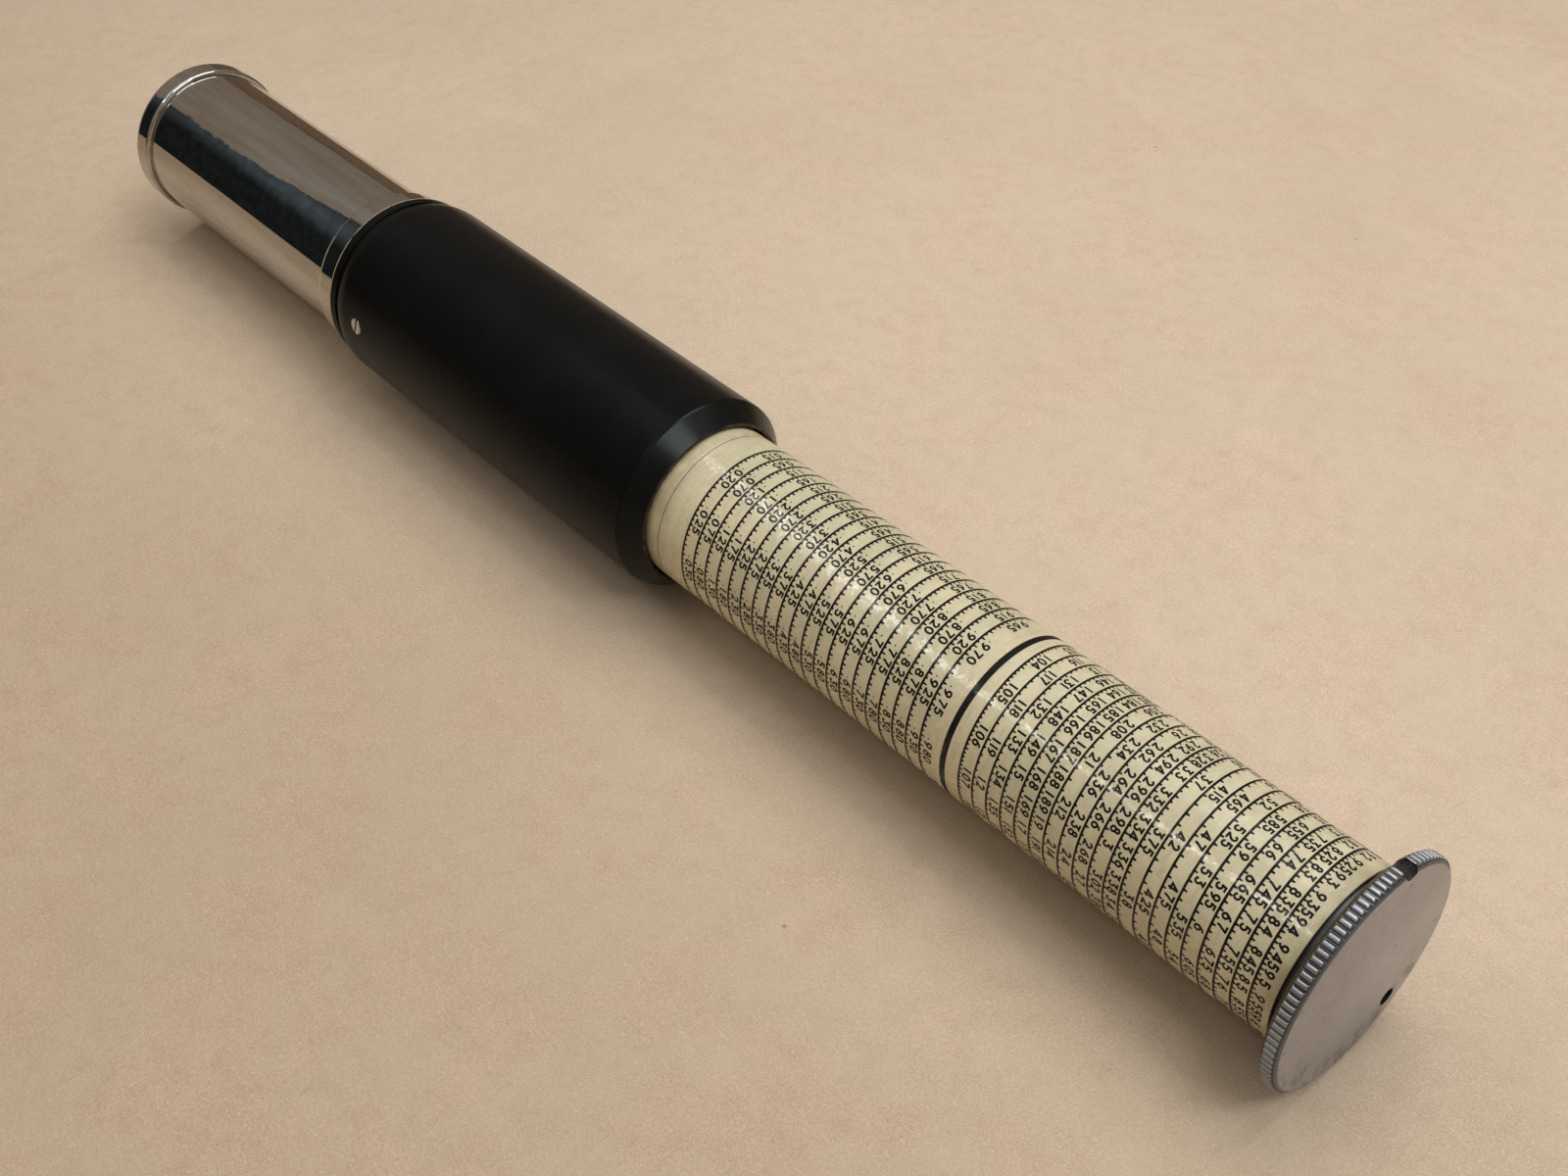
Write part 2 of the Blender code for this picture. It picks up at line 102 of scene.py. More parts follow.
# Materials
class Look:
    """A Principled material with helpers that add nodes to it."""

    def __init__(self, name, colour, roughness, metallic=0.0):
        self.material = bpy.data.materials.new(name)
        self.material.use_nodes = True
        self.tree = self.material.node_tree
        self.shader = self.tree.nodes["Principled BSDF"]
        self.set("Base Color", (*colour, 1.0))
        self.set("Roughness", roughness)
        self.set("Metallic", metallic)
        self.place = self.add("ShaderNodeTexCoord").outputs["Object"]
        self.x, self.y, self.z = self.parts(self.place)

    def set(self, socket, value):
        """Sets a number or a colour that is the same all over the surface."""
        self.shader.inputs[socket].default_value = value

    def add(self, kind, **settings):
        node = self.tree.nodes.new(kind)
        for key, value in settings.items():
            setattr(node, key, value)
        return node

    def link(self, a, b):
        self.tree.links.new(a, b)

    def parts(self, vector):
        node = self.add("ShaderNodeSeparateXYZ")
        self.link(vector, node.inputs[0])
        return node.outputs[0], node.outputs[1], node.outputs[2]

    def math(self, operation, a, b=None, clamp=False):
        node = self.add("ShaderNodeMath", operation=operation, use_clamp=clamp)
        for socket, value in zip(node.inputs, (a, b)):
            if value is None:
                continue
            if isinstance(value, (int, float)):
                socket.default_value = value
            else:
                self.link(value, socket)
        return node.outputs[0]

    def times(self, a, b):
        return self.math("MULTIPLY", a, b)

    def plus(self, a, b):
        return self.math("ADD", a, b)

    def minus(self, a, b):
        return self.math("SUBTRACT", a, b)

    def step(self, value, low, high, out_low=0.0, out_high=1.0):
        """Passes smoothly from one number to another as a value goes from low to high."""
        node = self.add("ShaderNodeMapRange", interpolation_type="SMOOTHSTEP")
        self.link(value, node.inputs["Value"])
        node.inputs["From Min"].default_value = low
        node.inputs["From Max"].default_value = high
        node.inputs["To Min"].default_value = out_low
        node.inputs["To Max"].default_value = out_high
        return node.outputs[0]

    def stretch(self, x, y, z, place=None):
        node = self.add("ShaderNodeVectorMath", operation="MULTIPLY")
        self.link(place or self.place, node.inputs[0])
        node.inputs[1].default_value = (x, y, z)
        return node.outputs[0]

    def noise(self, scale, detail=4.0, roughness=0.55, vector=None):
        node = self.add("ShaderNodeTexNoise")
        node.inputs["Scale"].default_value = scale
        node.inputs["Detail"].default_value = detail
        node.inputs["Roughness"].default_value = roughness
        self.link(vector or self.place, node.inputs["Vector"])
        return node.outputs["Fac"]

    def cells(self, scale):
        node = self.add("ShaderNodeTexVoronoi")
        node.inputs["Scale"].default_value = scale
        self.link(self.place, node.inputs["Vector"])
        return node.outputs["Distance"]

    def along(self):
        """Distance along the axis from the handle's closed end, in millimetres."""
        return self.times(self.minus(self.x, START), 1.0 / MM)

    def radius(self):
        """Distance from the axis, in millimetres."""
        z = self.minus(self.z, AXIS)
        square = self.plus(self.times(self.y, self.y), self.times(z, z))
        return self.times(self.math("SQRT", square), 1.0 / MM)

    def near(self, value, centre, width):
        """1 at a value, falling to 0 at a distance from it."""
        gap = self.math("ABSOLUTE", self.minus(value, centre))
        return self.step(gap, 0.0, width, 1.0, 0.0)

    def mix(self, factor, a, b, blend="MIX"):
        node = self.add("ShaderNodeMix", data_type="RGBA", blend_type=blend)
        self.link(factor, node.inputs[0])
        for socket, value in ((node.inputs[6], a), (node.inputs[7], b)):
            if isinstance(value, tuple):
                socket.default_value = (*value, 1.0)
            else:
                self.link(value, socket)
        return node.outputs[2]

    def layers(self, colour, rows):
        """Lays colours over one another, each by its value, low, high and greatest share."""
        for value, low, high, share, over in rows:
            colour = self.mix(self.step(value, low, high, 0.0, share), colour, over)
        return colour

    def colour(self, value):
        self.link(value, self.shader.inputs["Base Color"])

    def rough(self, value):
        self.link(value, self.shader.inputs["Roughness"])

    def bump(self, height, depth, strength=1.0, coat=False):
        """Bump from a height, with its depth in millimetres."""
        node = self.add("ShaderNodeBump")
        node.inputs["Strength"].default_value = strength
        node.inputs["Distance"].default_value = depth * MM
        self.link(height, node.inputs["Height"])
        self.link(node.outputs[0], self.shader.inputs["Normal"])
        if coat:
            self.link(node.outputs[0], self.shader.inputs["Coat Normal"])


def nickel(name, tint=(0.50, 0.485, 0.465), gloss=0.02, worn_and_lit_edges=()):
    """Polished plate: fine scratches, faint stains, slight waviness, and brass-coloured edge lines,
    partly worn brass and partly a painted highlight.

    An edge line is given by its place along the axis and the height over the axis up to which it is painted."""
    m = Look(name, tint, gloss, 1.0)
    stains = m.noise(150.0, 6.0, 0.62)
    scratches = m.noise(240.0, 5.0, 0.7, m.stretch(0.35, 6.0, 6.0))
    drawn = m.noise(300.0, 3.0, 0.6, m.stretch(0.10, 1.5, 1.5))
    colour = m.layers(tint, (
        (stains, 0.50, 0.80, 0.30, shade(tint, (0.62, 0.558, 0.496))),
        (m.noise(38.0, 3.0, 0.5), 0.35, 0.75, 0.22, shade(tint, (0.82, 0.82, 0.82))),
        (drawn, 0.40, 0.68, 0.60, shade(tint, (0.74, 0.66, 0.60))),
        (m.cells(900.0), 0.12, 0.06, 0.50, (0.10, 0.08, 0.06))))
    bare = None
    # Painted highlight as well as worn brass: each edge line is a light, less metallic brass, painted only
    # below its height.
    for place, top in worn_and_lit_edges:
        broken = m.times(m.near(m.along(), place, 0.20), m.step(m.noise(260.0, 4.0, 0.6), 0.30, 0.50))
        worn = m.times(broken, m.step(m.z, AXIS + (top + 1.5) * MM, AXIS + (top - 1.5) * MM))
        colour = m.mix(worn, colour, (0.74, 0.63, 0.40))
        bare = worn if bare is None else m.plus(bare, worn)
    if bare is not None:
        brass_share = m.math("MULTIPLY", bare, 0.8, clamp=True)
        m.link(m.minus(1.0, brass_share), m.shader.inputs["Metallic"])
    m.colour(colour)
    stained = m.step(stains, 0.50, 0.80, gloss, gloss + 0.05)
    m.rough(m.plus(m.step(scratches, 0.50, 0.85, 0.0, 0.05), stained))
    rings = m.noise(1.0, 2.0, 0.5, m.stretch(1800.0, 3.0, 3.0))
    m.bump(m.plus(m.noise(55.0, 1.0, 0.4), m.times(rings, 0.010)), 0.10)
    return m.material


def lacquer(name, gloss, gleam=0.075, worn=(), bare=()):
    """Satin black lacquer over brass, with faint turning lines and dust.

    Worn edges and bare lines are given by their place along the axis and their width."""
    base = (0.0032, 0.0034, 0.0035)
    m = Look(name, base, gloss)
    m.set("Specular IOR Level", gleam)
    m.set("Specular Tint", (0.86, 1.0, 0.96, 1.0))
    haze = m.noise(70.0, 4.0, 0.6)
    colour = m.layers(base, (
        (haze, 0.40, 0.80, 1.0, (0.0048, 0.0049, 0.0047)),
        (m.cells(620.0), 0.075, 0.035, 0.05, (0.10, 0.09, 0.08))))
    for place, width in worn:
        rubbed = m.times(m.near(m.along(), place, width), m.step(m.noise(700.0, 5.0, 0.65), 0.30, 0.62))
        colour = m.mix(m.times(rubbed, 0.8), colour, (0.085, 0.045, 0.028))
    for place, width in bare:
        line = m.step(m.math("ABSOLUTE", m.minus(m.along(), place)), width, width * 0.6)
        broken = m.times(line, m.step(m.noise(340.0, 4.0, 0.6), 0.30, 0.46))
        colour = m.mix(broken, colour, (0.72, 0.60, 0.34))
    m.colour(colour)
    m.rough(m.plus(m.times(haze, 0.16), gloss - 0.06))
    lines = m.noise(1.0, 3.0, 0.6, m.stretch(5200.0, 14.0, 14.0))
    m.bump(m.plus(m.times(lines, 0.5), m.noise(2600.0, 2.0, 0.5)), 0.0035)
    return m.material


def varnish(m, under_colour, base_rough, weight=1.0):
    """Old varnish over paper and ink: mottled gloss with fine creases and dull patches.

    It is duller beyond a line along the top that leans a few millimetres sideways."""
    patches = m.step(m.noise(900.0, 6.0, 0.75), 0.46, 0.56, 0.15 * weight, weight)
    past_line = m.minus(m.times(m.y, 1.0 / MM), m.step(m.along(), 150.0, 208.0, -1.6, -5.3))
    dulled = m.times(patches, m.step(past_line, -0.3, 1.2, 1.0, 0.25))
    m.link(dulled, m.shader.inputs["Coat Weight"])
    m.set("Coat Roughness", 0.11)
    m.set("Coat IOR", 1.75)
    m.set("Coat Tint", (1.0, 0.98, 0.90, 1.0))
    m.rough(m.plus(m.times(m.noise(420.0, 4.0, 0.6), 0.2), base_rough))
    m.bump(m.plus(m.noise(300.0, 3.0, 0.55), m.times(m.noise(1300.0, 3.0, 0.6), 0.35)), 0.05, coat=True)
    m.colour(under_colour)


def paper(name, ends):
    """Yellowed paper with clouds, fibres and specks, darker and browner in patches near its ends, under
    varnish.
    """
    m = Look(name, (0.60, 0.56, 0.375), 0.5)
    m.set("Specular IOR Level", 0.2)
    clouds = m.step(m.noise(95.0, 5.0, 0.6), 0.34, 0.70)
    fibres = m.noise(900.0, 5.0, 0.65, m.stretch(1.0, 0.35, 0.35))
    colour = m.layers(m.mix(clouds, (0.625, 0.570, 0.400), (0.500, 0.460, 0.315)), (
        (fibres, 0.42, 0.72, 0.55, (0.44, 0.395, 0.265)),
        (m.noise(2300.0, 3.0, 0.6), 0.50, 0.80, 0.40, (0.74, 0.68, 0.50)),
        (m.cells(520.0), 0.10, 0.05, 0.35, (0.30, 0.24, 0.13))))
    for place in ends:
        # Browner, darker patches near each end.
        end_patches = m.times(m.near(m.along(), place, 4.5), m.step(m.noise(160.0, 5.0, 0.6), 0.25, 0.62))
        colour = m.mix(m.times(end_patches, 0.7), colour, (0.30, 0.245, 0.15))
    varnish(m, colour, 0.38)
    return m.material


def ink(name, colour=(0.0030, 0.0027, 0.0025)):
    """Black print, a little worn, under thinner varnish."""
    m = Look(name, colour, 0.45)
    m.set("Specular IOR Level", 0.1)
    worn = m.layers(colour, ((m.noise(700.0, 4.0, 0.6), 0.58, 0.78, 0.25, (0.040, 0.032, 0.022)),))
    varnish(m, worn, 0.40, 0.45)
    return m.material


def cap_metal(name):
    """Satin plate with turning rings on the face, stains low on the rim, darker knurl grooves, and scuffs.

    Painted shade darkens the face towards the top, the knurl and the bevel; the back face has painted shade
    and an olive painted reflection.
    """
    tint = (0.475, 0.505, 0.59)
    m = Look(name, tint, 0.34, 1.0)
    radius = m.radius()
    along = m.along()
    rings = m.add("ShaderNodeTexNoise", noise_dimensions="1D")
    m.link(radius, rings.inputs["W"])
    rings.inputs["Scale"].default_value = 7.0
    rings.inputs["Detail"].default_value = 4.0
    clouds = m.noise(120.0, 5.0, 0.6)
    spots = m.step(m.noise(420.0, 6.0, 0.7), 0.56, 0.72)
    scuffs = m.step(m.noise(300.0, 3.0, 0.5, m.stretch(1.0, 7.0, 1.2)), 0.60, 0.70)
    colour = m.layers(tint, (
        (clouds, 0.35, 0.70, 0.60, (0.43, 0.42, 0.45)),
        (m.noise(900.0, 5.0, 0.7), 0.50, 0.78, 0.40, (0.24, 0.23, 0.24)),
        # Painted shade: this last layer darkens the face towards the top.
        (m.z, AXIS - 8.0 * MM, AXIS + 12.0 * MM, 0.45, (0.30, 0.30, 0.335))))

    rim = m.step(radius, 9.0, 15.6)
    low_rim = m.times(m.step(m.z, AXIS, AXIS - 14.0 * MM), rim)
    stains = m.times(m.step(m.noise(300.0, 6.0, 0.75, m.stretch(1.0, 1.8, 1.0)), 0.46, 0.60), low_rim)
    colour = m.mix(m.times(stains, 0.9), colour, (0.14, 0.125, 0.13))
    colour = m.mix(m.times(spots, m.plus(m.times(rim, 0.60), 0.15)), colour, (0.12, 0.10, 0.085))
    colour = m.mix(m.times(scuffs, 0.35), colour, (0.60, 0.59, 0.60))

    # Painted shade: the knurl band is coloured darker than the face of the same metal.
    ribs = m.step(radius, 15.45, 15.65)
    colour = m.mix(ribs, colour, (0.325, 0.345, 0.38))
    # Painted shade: the front bevel is coloured darker and bluer than the face.
    bevel = m.times(m.step(along, CAP_BACK + 2.05, CAP_BACK + 2.18), m.step(radius, 15.58, 15.66))
    colour = m.mix(m.times(bevel, 0.85), colour, (0.16, 0.175, 0.205))
    # The knurl's grooves are coloured darker.
    below_tops = m.times(m.step(radius, 16.22, 16.05), m.step(radius, 15.6, 15.9))
    grooves = m.times(below_tops, m.step(along, CAP_BACK + 2.40, CAP_BACK + 2.15))
    colour = m.mix(m.times(grooves, 0.75), colour, (0.050, 0.046, 0.038))
    # Painted shade and painted reflection: the back face is near-black towards the axis and olive further
    # out, a little mottled.
    mottling = m.step(m.noise(500.0, 4.0, 0.6), 0.1, 0.5, 0.75, 1.0)
    back = m.times(m.step(along, CAP_BACK + 0.75, CAP_BACK + 0.45), mottling)
    painted_back_shade_and_reflection = m.mix(m.step(radius, 13.5, 14.3), (0.016, 0.015, 0.015), (0.110, 0.112, 0.074))
    m.colour(m.mix(m.times(back, 0.96), colour, painted_back_shade_and_reflection))

    satin = m.plus(m.times(clouds, 0.16), m.plus(m.times(spots, 0.2), 0.22))
    m.rough(m.plus(satin, m.step(radius, 15.5, 15.7, 0.0, 0.12)))
    fine = m.plus(m.times(m.noise(1400.0, 4.0, 0.6), 0.6), m.times(scuffs, 0.4))
    m.bump(m.plus(rings.outputs["Fac"], fine), 0.016)
    return m.material


def turned_metal(name, tint, gloss, dirt=(0.10, 0.08, 0.05)):
    """Plain turned metal: fine rings along the axis, with grime."""
    m = Look(name, tint, gloss, 1.0)
    rings = m.noise(1.0, 3.0, 0.6, m.stretch(3000.0, 20.0, 20.0))
    mottling = m.step(m.noise(210.0, 5.0, 0.65), 0.50, 0.72)
    m.colour(m.mix(m.times(mottling, 0.5), tint, dirt))
    m.rough(m.plus(m.times(mottling, 0.2), m.plus(m.times(rings, 0.08), gloss)))
    m.bump(rings, 0.008)
    return m.material


def grained(name, light, dark, scale, roughness, depth):
    """Cork or felt: a grain of two colours with a soft broken surface."""
    m = Look(name, light, roughness)
    grain = m.plus(m.cells(scale), m.noise(scale * 2.0, 5.0, 0.7))
    m.colour(m.mix(m.step(grain, 0.55, 1.05), dark, light))
    m.bump(grain, depth)
    return m.material


def bore_material():
    """Painted shade inside the cap's notch and hole, the screw's slot and its recess: a dark, mottled colour.
    """
    m = Look("painted_shade_bore", (0.05, 0.04, 0.033), 0.6, 0.6)
    mottling = m.noise(900.0, 5.0, 0.7)
    # Painted shade: the mottled near-black colour stands for the shade in these hollows.
    m.colour(m.mix(m.step(mottling, 0.45, 0.7), (0.010, 0.008, 0.007), (0.055, 0.045, 0.036)))
    m.bump(mottling, 0.05)
    return m.material


handle_nickel = nickel("polished_nickel_handle")
end_cap_nickel = nickel("polished_nickel_end_cap")
collar_nickel = nickel("polished_nickel_collar", (0.47, 0.455, 0.43), 0.05,
                       worn_and_lit_edges=((66.98, 30.0), (63.42, 10.5)))
ring_nickel = nickel("polished_nickel_mouth", (0.50, 0.48, 0.45), 0.14)
barrel_black = lacquer("black_lacquer_barrel", 0.25)
nose_black = lacquer("black_lacquer_nose", 0.25, gleam=0.17, worn=((147.80, 0.22),))
bead_black = lacquer("black_lacquer_bead", 0.22, bare=((67.86, 0.075),))
upper_paper = paper("upper_scale_paper_varnished", (257.2, 148.0))
lower_paper = paper("lower_scale_paper_varnished", (67.4, 137.6))
print_ink = ink("scale_ink")
band_ink = ink("scale_band_black", (0.006, 0.006, 0.006))
cap_nickel = cap_metal("satin_nickel_cap")
# Painted shade: the neck sits in the gap before the cap and is coloured near-black for that shade.
neck_metal = turned_metal("nickel_neck_painted_shade", (0.085, 0.078, 0.088), 0.40, (0.02, 0.018, 0.02))
steel = turned_metal("bright_screw_steel", (0.52, 0.51, 0.49), 0.18, (0.20, 0.17, 0.14))
brass = turned_metal("turned_brass", (0.62, 0.44, 0.20), 0.26)
spring = turned_metal("spring_steel_plain", (0.42, 0.41, 0.40), 0.30)
cork = grained("cork_grain", (0.42, 0.27, 0.14), (0.20, 0.11, 0.05), 900.0, 0.9, 0.12)
felt = grained("black_felt", (0.045, 0.050, 0.045), (0.012, 0.014, 0.012), 2600.0, 0.95, 0.10)
bore_dark = bore_material()

INSIDE = {
    brass: ("brake_spindle", "brake_stop_washer", "brake_spindle_nut", "cylinder_end_plate"),
    cork: ("brake_cork_ring",),
    felt: ("cursor_rear_felt", "cursor_front_felt"),
    spring: ("cursor_rear_split_ring", "cursor_front_split_ring"),
}
for material, names in INSIDE.items():
    for name in names:
        nodes[name].data.materials.clear()
        nodes[name].data.materials.append(material)


# Helpers that make meshes
def add_object(name, mesh, material):
    """Makes an object with one material from a mesh."""
    mesh.materials.append(material)
    obj = bpy.data.objects.new(name, mesh)
    bpy.context.scene.collection.objects.link(obj)
    return obj


def object_from(name, bm, material):
    """Makes an object with one material from a bmesh, and frees the bmesh."""
    mesh = bpy.data.meshes.new(name)
    bm.to_mesh(mesh)
    bm.free()
    return add_object(name, mesh, material)


def finish_piece(name, bm, material, body, node=None):
    """Makes a piece that rides on a body and, where a node is named, stands for it."""
    bmesh.ops.recalc_face_normals(bm, faces=bm.faces)
    piece = object_from(name, bm, material)
    piece.data.shade_smooth()
    piece.data.set_sharp_from_angle(angle=SHARP_ANGLE)
    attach(piece, body)
    if node is not None:
        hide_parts(node)
    return piece


def circle(sides):
    """Pairs of cosine and sine round a circle."""
    turns = [2 * math.pi * i / sides for i in range(sides)]
    return [(math.cos(turn), math.sin(turn)) for turn in turns]


def bridge(bm, loops):
    """Joins each loop of vertices to the next one. A loop of one vertex is a pole."""
    for a, b in zip(loops, loops[1:]):
        count = max(len(a), len(b))
        for i in range(count):
            j = (i + 1) % count
            corners = [a[i % len(a)], a[j % len(a)], b[j % len(b)], b[i % len(b)]]
            unique = list(dict.fromkeys(corners))
            if len(unique) > 2:
                bm.faces.new(unique)


def rounded(outline, steps):
    """Rounds the corners of a closed (along, radius) outline that give a length to cut as a third value."""
    points = []
    for i, corner in enumerate(outline):
        here = Vector(corner[:2])
        if len(corner) < 3:
            points.append(here)
            continue
        before = Vector(outline[i - 1][:2]) - here
        after = Vector(outline[(i + 1) % len(outline)][:2]) - here
        reach = min(corner[2], before.length * 0.45, after.length * 0.45)
        a = here + before.normalized() * reach
        b = here + after.normalized() * reach
        for k in range(steps + 1):
            t = k / steps
            points.append(a.lerp(here, t).lerp(here.lerp(b, t), t))
    return points


def eased(profile, gap=0.04, least=1.0):
    """Adds a point just inside each end of every long side, so that its shading stays flat."""
    points = []
    for a, b in zip(profile, profile[1:] + profile[:1]):
        points.append(a)
        side = b - a
        if side.length > least and min(a.y, b.y) > 1.0:
            points += [a + side.normalized() * gap, b - side.normalized() * gap]
    return points


def lathe(name, outline, material, body, node, sides=176, steps=4):
    """Turns a closed (along, radius) outline round the axis."""
    bm = bmesh.new()
    loops = []
    for along, radius in eased(rounded(outline, steps)):
        if radius < 0.001:
            loops.append([bm.verts.new(point(along, 0.0, 0.0))])
        else:
            loops.append([bm.verts.new(point(along, radius, 360.0 * (i + 0.5) / sides))
                          for i in range(sides)])
    bridge(bm, loops + loops[:1])
    return finish_piece(name, bm, material, body, node)


def carve(piece, bm):
    """Cuts a closed bmesh out of a piece, and gives the cut's surface the dark painted shade."""
    bmesh.ops.recalc_face_normals(bm, faces=bm.faces)
    tool = object_from("cutter", bm, bore_dark)
    step = piece.modifiers.new("cut", "BOOLEAN")
    step.operation = "DIFFERENCE"
    step.solver = "EXACT"
    step.object = tool
    step.material_mode = "TRANSFER"
    bpy.context.view_layer.update()
    depsgraph = bpy.context.evaluated_depsgraph_get()
    result = bpy.data.meshes.new_from_object(piece.evaluated_get(depsgraph))
    piece.modifiers.clear()
    piece.data = result
    bpy.data.objects.remove(tool, do_unlink=True)


# The holder
tube0, tube1 = SPAN["handle_tube"]
lathe("handle_tube_drawn",
      [(tube0, HANDLE_BORE), (tube0, HANDLE_R), (tube1, HANDLE_R), (tube1, HANDLE_BORE)],
      handle_nickel, "holder", "handle_tube")
lathe("handle_end_cap_spun",
      [(0.0, 0.0), (0.0, END_CAP_R, 0.85), (3.75, END_CAP_R), (3.92, 13.87), (4.07, 13.78), (4.19, 13.64),
       (4.27, 13.45), (4.3, 13.25), (4.3, END_CAP_LIP), (3.4, END_CAP_LIP), (3.4, END_CAP_BORE),
       (END_CAP_FLOOR, END_CAP_BORE), (END_CAP_FLOOR, 0.0)],
      end_cap_nickel, "holder", "handle_end_cap", steps=7)
collar0, collar1 = SPAN["holder_collar"]
lathe("holder_collar_turned",
      [(collar0, COLLAR_BORE), (collar0, COLLAR_R, 0.28), (collar1, COLLAR_R, 0.28), (collar1, COLLAR_BORE)],
      collar_nickel, "holder", "holder_collar", steps=5)
sleeve0, sleeve1 = SPAN["lower_scale_sleeve"]
lathe("lower_scale_wrap",
      [(sleeve0, LOWER_BORE), (sleeve0, LOWER_R, 0.06), (sleeve1, LOWER_R, 0.06), (sleeve1, LOWER_BORE)],
      lower_paper, "holder", "lower_scale_sleeve")
mouth0, mouth1 = SPAN["holder_mouth_ring"]
flange0 = mouth1 - FLANGE
lathe("holder_mouth_ring_turned",
      [(mouth0, LOWER_BORE), (mouth0, LOWER_R, 0.10), (mouth1, LOWER_R, 0.30), (mouth1, MOUTH_BORE, 0.12),
       (flange0, MOUTH_BORE), (flange0, LOWER_BORE)],
      ring_nickel, "holder", "holder_mouth_ring")

# The cylinder
neck0, neck1 = SPAN["cylinder_tube"]
lathe("cylinder_tube_drawn", [(neck0, NECK_BORE), (neck0, NECK_R), (neck1, NECK_R), (neck1, NECK_BORE)],
      neck_metal, "cylinder", "cylinder_tube")
wrap0, wrap1 = SPAN["upper_scale_sleeve"]
lathe("upper_scale_wrap",
      [(wrap0, UPPER_BORE), (wrap0, UPPER_R, 0.06), (wrap1, UPPER_R, 0.08), (wrap1, UPPER_BORE)],
      upper_paper, "cylinder", "upper_scale_sleeve", sides=240)

# The cursor, with a fine turned line near the barrel's rear end
rear0, rear1 = SPAN["cursor_rear_ring"]
barrel0, barrel1 = SPAN["cursor_barrel"]
nose0 = barrel1 - NOSE
barrel = lathe("cursor_barrel_turned",
               [(barrel0, BARREL_BORE), (barrel0, BARREL_R - 0.57, 0.10),
                (barrel0 + 0.35, BARREL_R - 0.30, 0.25), (barrel0 + 1.9, BARREL_R, 0.9),
                (BARREL_LINE - 0.11, BARREL_R), (BARREL_LINE, BARREL_R - 0.035),
                (BARREL_LINE + 0.11, BARREL_R), (nose0, BARREL_R, 0.30), (barrel1, 12.95, 0.16),
                (barrel1, 12.55, 0.10), (barrel1 - 0.7, 12.55), (barrel1 - 4.6, BARREL_BORE)],
               barrel_black, "cursor", "cursor_barrel", steps=5)
barrel.data.materials.append(nose_black)
for face in barrel.data.polygons:
    if face.center.x > START + nose0 * MM:
        face.material_index = 1
bead1 = rear0 + BEAD
groove1 = bead1 + GROOVE
lathe("cursor_rear_bead_turned",
      [(rear0, LINING_R, 0.1), (rear0, BEAD_R, 0.26), (rear0 + 0.85, BEAD_R, 0.08),
       (rear0 + 0.95, 14.62, 0.03), (rear0 + 1.05, BEAD_R, 0.08), (bead1, BEAD_R, 0.3), (bead1, GROOVE_R),
       (groove1, GROOVE_R), (groove1, SPIGOT_R), (rear1, SPIGOT_R), (rear1, LINING_R)],
      bead_black, "cursor", "cursor_rear_ring")


def knurled_cap():
    """A turned blank with ribs, whose grooves run out through its shoulder and bevel."""
    cap1 = SPAN["knurled_cap"][1]
    turned = ((0.0, 11.6), (0.0, 15.35), (0.06, 15.52), (0.25, 15.72), (0.45, 15.98), (0.60, 16.18),
              (0.70, 16.27), (0.82, CAP_R), (1.40, CAP_R), (1.90, CAP_R), (2.00, 16.26), (2.09, 16.15),
              (2.17, 16.03), (2.30, 15.88), (2.44, 15.72), (2.52, 15.61))
    blank = [(CAP_BACK + reach, radius) for reach, radius in turned] + [(cap1, 15.5)]
    # one rib and groove: the share of the pitch, and the greatest radius there
    rib_shape = ((-0.17, CAP_R), (0.0, CAP_R), (0.17, CAP_R), (0.25, 16.24), (0.34, 16.04), (0.42, 15.96),
                 (0.58, 15.96), (0.66, 16.04), (0.75, 16.24))
    spigot_radius, spigot_end, spigot_sides = 10.7, 252.8, 96
    bm = bmesh.new()
    loops = []
    for along, top in blank:
        loops.append([bm.verts.new(point(along, min(top, limit), (rib + share) * 360.0 / RIBS))
                      for rib in range(RIBS) for share, limit in rib_shape])
    bridge(bm, loops)
    bm.faces.new(loops[-1])
    spigot = []
    for along in (CAP_BACK, spigot_end):
        spigot.append([bm.verts.new(point(along, spigot_radius, i * 360.0 / spigot_sides))
                       for i in range(spigot_sides)])
    bridge(bm, spigot)
    bm.faces.new(spigot[1])
    edges = [e for e in bm.edges if e.is_boundary]
    bmesh.ops.triangle_fill(bm, edges=edges, use_beauty=True)
    piece = finish_piece("knurled_cap_cut", bm, cap_nickel, "cylinder", "knurled_cap")

    notch_radius, notch_angle = 1.33, 77.5
    carve_hole(piece, ((CAP_BACK - 1.0, notch_radius), (cap1 + 1.0, notch_radius)), CAP_R, notch_angle)
    hole, hole_depth, hole_place, hole_angle, worn_edge = 1.16, 2.0, 12.6, -53.4, 0.08
    wide = hole + 2.0 * worn_edge
    carve_hole(piece, ((cap1 - hole_depth, hole), (cap1 - worn_edge, hole), (cap1 + worn_edge, wide),
                       (cap1 + 1.0, wide)), hole_place, hole_angle)


def carve_hole(piece, profile, place, degrees):
    """Cuts a round hole of an (along, radius) profile, parallel to the axis, at a radius and an angle."""
    middle = point(0.0, place, degrees)
    bm = bmesh.new()
    loops = []
    for along, radius in profile:
        x, r = START + along * MM, radius * MM
        loops.append([bm.verts.new((x, middle.y + r * u, middle.z + r * v)) for u, v in circle(48)])
    bridge(bm, loops)
    bm.faces.new(loops[0])
    bm.faces.new(loops[-1])
    carve(piece, bm)
    piece.data.set_sharp_from_angle(angle=SHARP_ANGLE)


